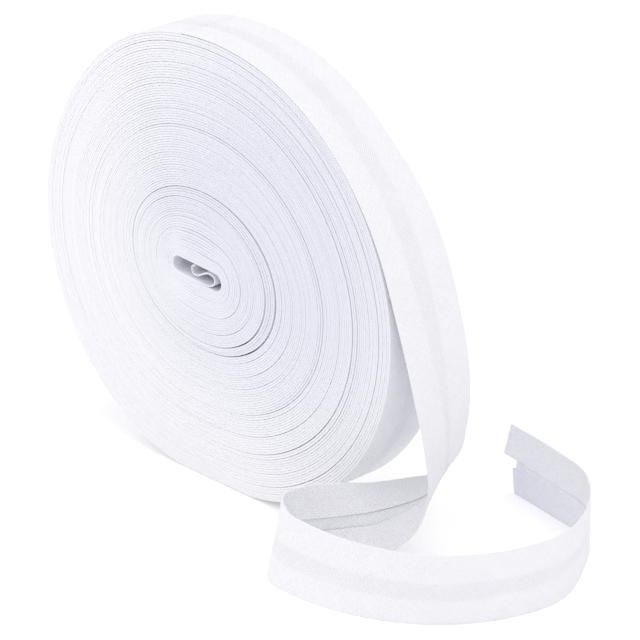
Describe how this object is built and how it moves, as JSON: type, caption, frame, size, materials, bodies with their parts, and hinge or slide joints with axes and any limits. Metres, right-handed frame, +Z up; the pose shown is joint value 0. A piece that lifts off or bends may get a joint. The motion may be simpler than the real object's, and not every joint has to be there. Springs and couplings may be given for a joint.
{
  "type": "roll of bias tape",
  "caption": "Flat roll of folded cloth tape standing on its rim, its loose end hanging down one side and curling round on the floor.",
  "frame": {"origin": "middle of the roll's small flat spot, on the surface that it rests on", "axes": "+Z up, the roll's winding axis along Y with its front face towards -Y, the loose end towards +X"},
  "size_m": [0.1372, 0.0644, 0.0954],
  "materials": {
    "tape": "white plain-woven poly-cotton, pressed, matt"
  },
  "bodies": {
    "root": {"roll": "tape", "loose_end": "tape"}
  },
  "joints": []
}
